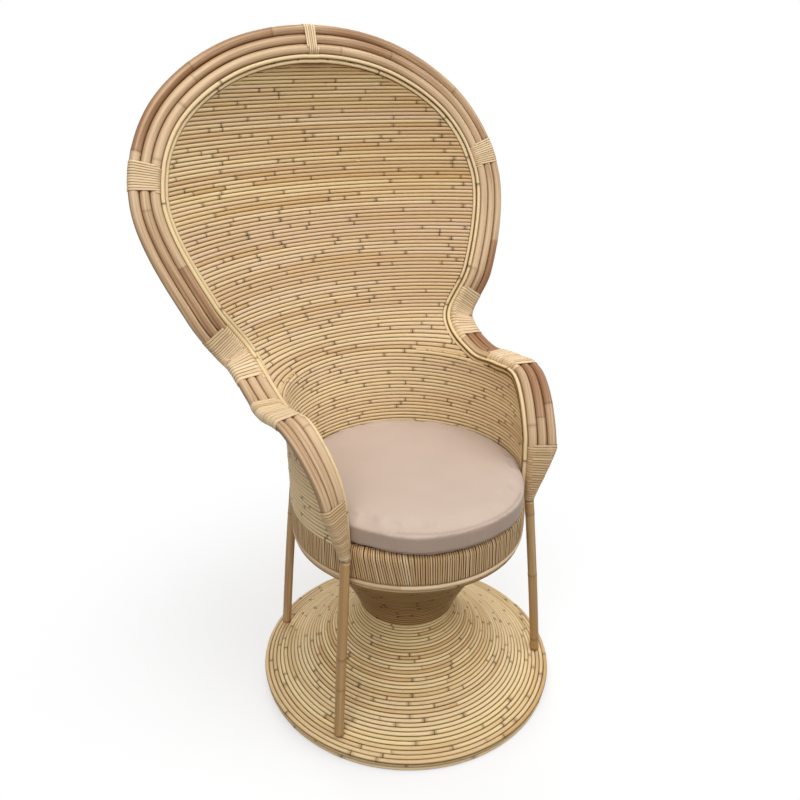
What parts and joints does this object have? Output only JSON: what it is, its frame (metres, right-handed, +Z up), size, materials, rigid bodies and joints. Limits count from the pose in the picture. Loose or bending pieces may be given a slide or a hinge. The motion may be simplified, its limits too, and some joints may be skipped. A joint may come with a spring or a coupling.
{
  "type": "peacock chair",
  "caption": "Rattan peacock chair with a reed-clad trumpet pedestal, a tub seat with a loose round cushion, and a tall dished round back inside a bound pole rim.",
  "frame": {"origin": "on the floor, under the middle of the chair's bounding box", "axes": "+Z up, the sitter faces -Y, +X is the sitter's left"},
  "size_m": [0.8702, 0.7848, 1.358],
  "materials": {
    "reed": "satin natural rattan reed",
    "pole": "satin natural rattan pole",
    "cane": "satin pale cane strip",
    "frame": "plain bent rattan",
    "cushion": "smooth soft upholstery cloth"
  },
  "bodies": {
    "frame": {"base_reed_skin": "reed", "flare_reed_skin": "reed", "floor_hoop": "frame", "seat_hoop": "cane", "pedestal_rib_1": "frame", "pedestal_rib_2": "frame", "pedestal_rib_3": "frame", "pedestal_rib_4": "frame", "pedestal_rib_5": "frame", "pedestal_rib_6": "frame", "neck_hoop": "frame", "apron_core": "frame", "apron_wrap": "cane", "seat_deck": "frame", "seat_bearer_1": "frame", "seat_bearer_2": "frame", "seat_bearer_3": "frame", "head_pole_inner": "pole", "head_pole_middle": "pole", "head_pole_outer": "pole", "arm_pole_left_inner": "pole", "arm_pole_left_middle": "pole", "arm_pole_left_outer": "pole", "arm_pole_right_inner": "pole", "arm_pole_right_middle": "pole", "arm_pole_right_outer": "pole", "edge_reed_outer": "cane", "edge_reed_inner": "cane", "reed_wall_tub": "reed", "reed_wall_waist": "reed", "reed_wall_back_low": "reed", "reed_wall_back_middle": "reed", "reed_wall_back_high": "reed", "back_rib_1": "frame", "back_rib_2": "frame", "back_rib_3": "frame", "back_rib_4": "frame", "binding_crown": "cane", "binding_upper_left": "cane", "binding_upper_right": "cane", "binding_waist_left": "cane", "binding_waist_right": "cane", "binding_arm_left": "cane", "binding_arm_right": "cane", "binding_front_left": "cane", "binding_front_right": "cane", "front_strut_left": "pole", "front_strut_right": "pole", "rear_strut_left": "pole", "rear_strut_right": "pole"},
    "cushion": {"cushion": "cushion"}
  },
  "joints": [
    {"name": "cushion_lift", "type": "slide", "parent": "frame", "child": "cushion", "axis": [0, 0, 1], "range_m": [0, 0.3]}
  ]
}
